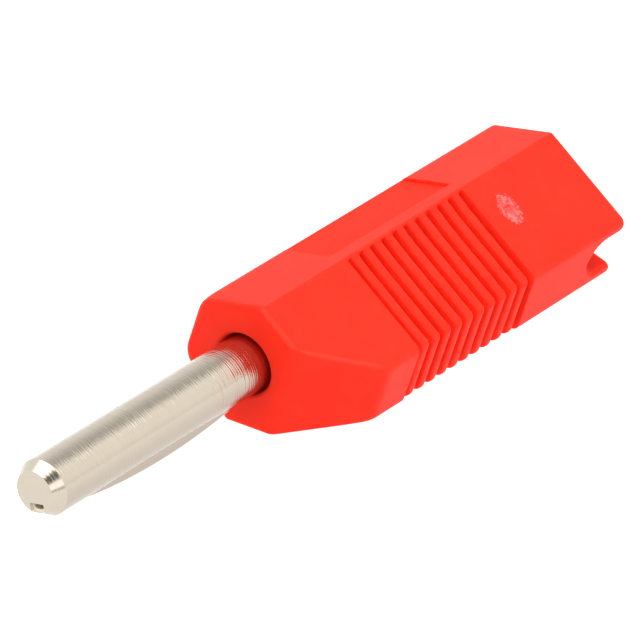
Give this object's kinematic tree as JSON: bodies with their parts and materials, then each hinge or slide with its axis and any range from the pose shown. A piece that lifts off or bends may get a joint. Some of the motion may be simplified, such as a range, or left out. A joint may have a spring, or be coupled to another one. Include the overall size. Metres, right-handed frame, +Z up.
{
  "type": "banana plug",
  "caption": "Red moulded banana plug with a six-sided ribbed grip, a sloped nose, a nickel-plated pin with a bowed leaf spring, a side cable notch and a rear stacking socket.",
  "frame": {"origin": "on the surface that the plug lies on, under the middle of its box", "axes": "+X along the pin axis from the pin's tip to the rear socket, +Z up from the flat that the plug lies on, -Y towards the cable side"},
  "size_m": [0.0526, 0.0126, 0.0092],
  "materials": {
    "red_plastic": "satin moulded, fine grain",
    "nickel_plated_brass": "nickel plated, fine turning marks",
    "spring_bronze": "nickel plated strip",
    "screw_steel": "zinc plated"
  },
  "bodies": {
    "root": {"sleeve": "red_plastic", "contact": "nickel_plated_brass", "leaf_spring": "spring_bronze", "clamp_screw": "screw_steel"}
  },
  "joints": []
}
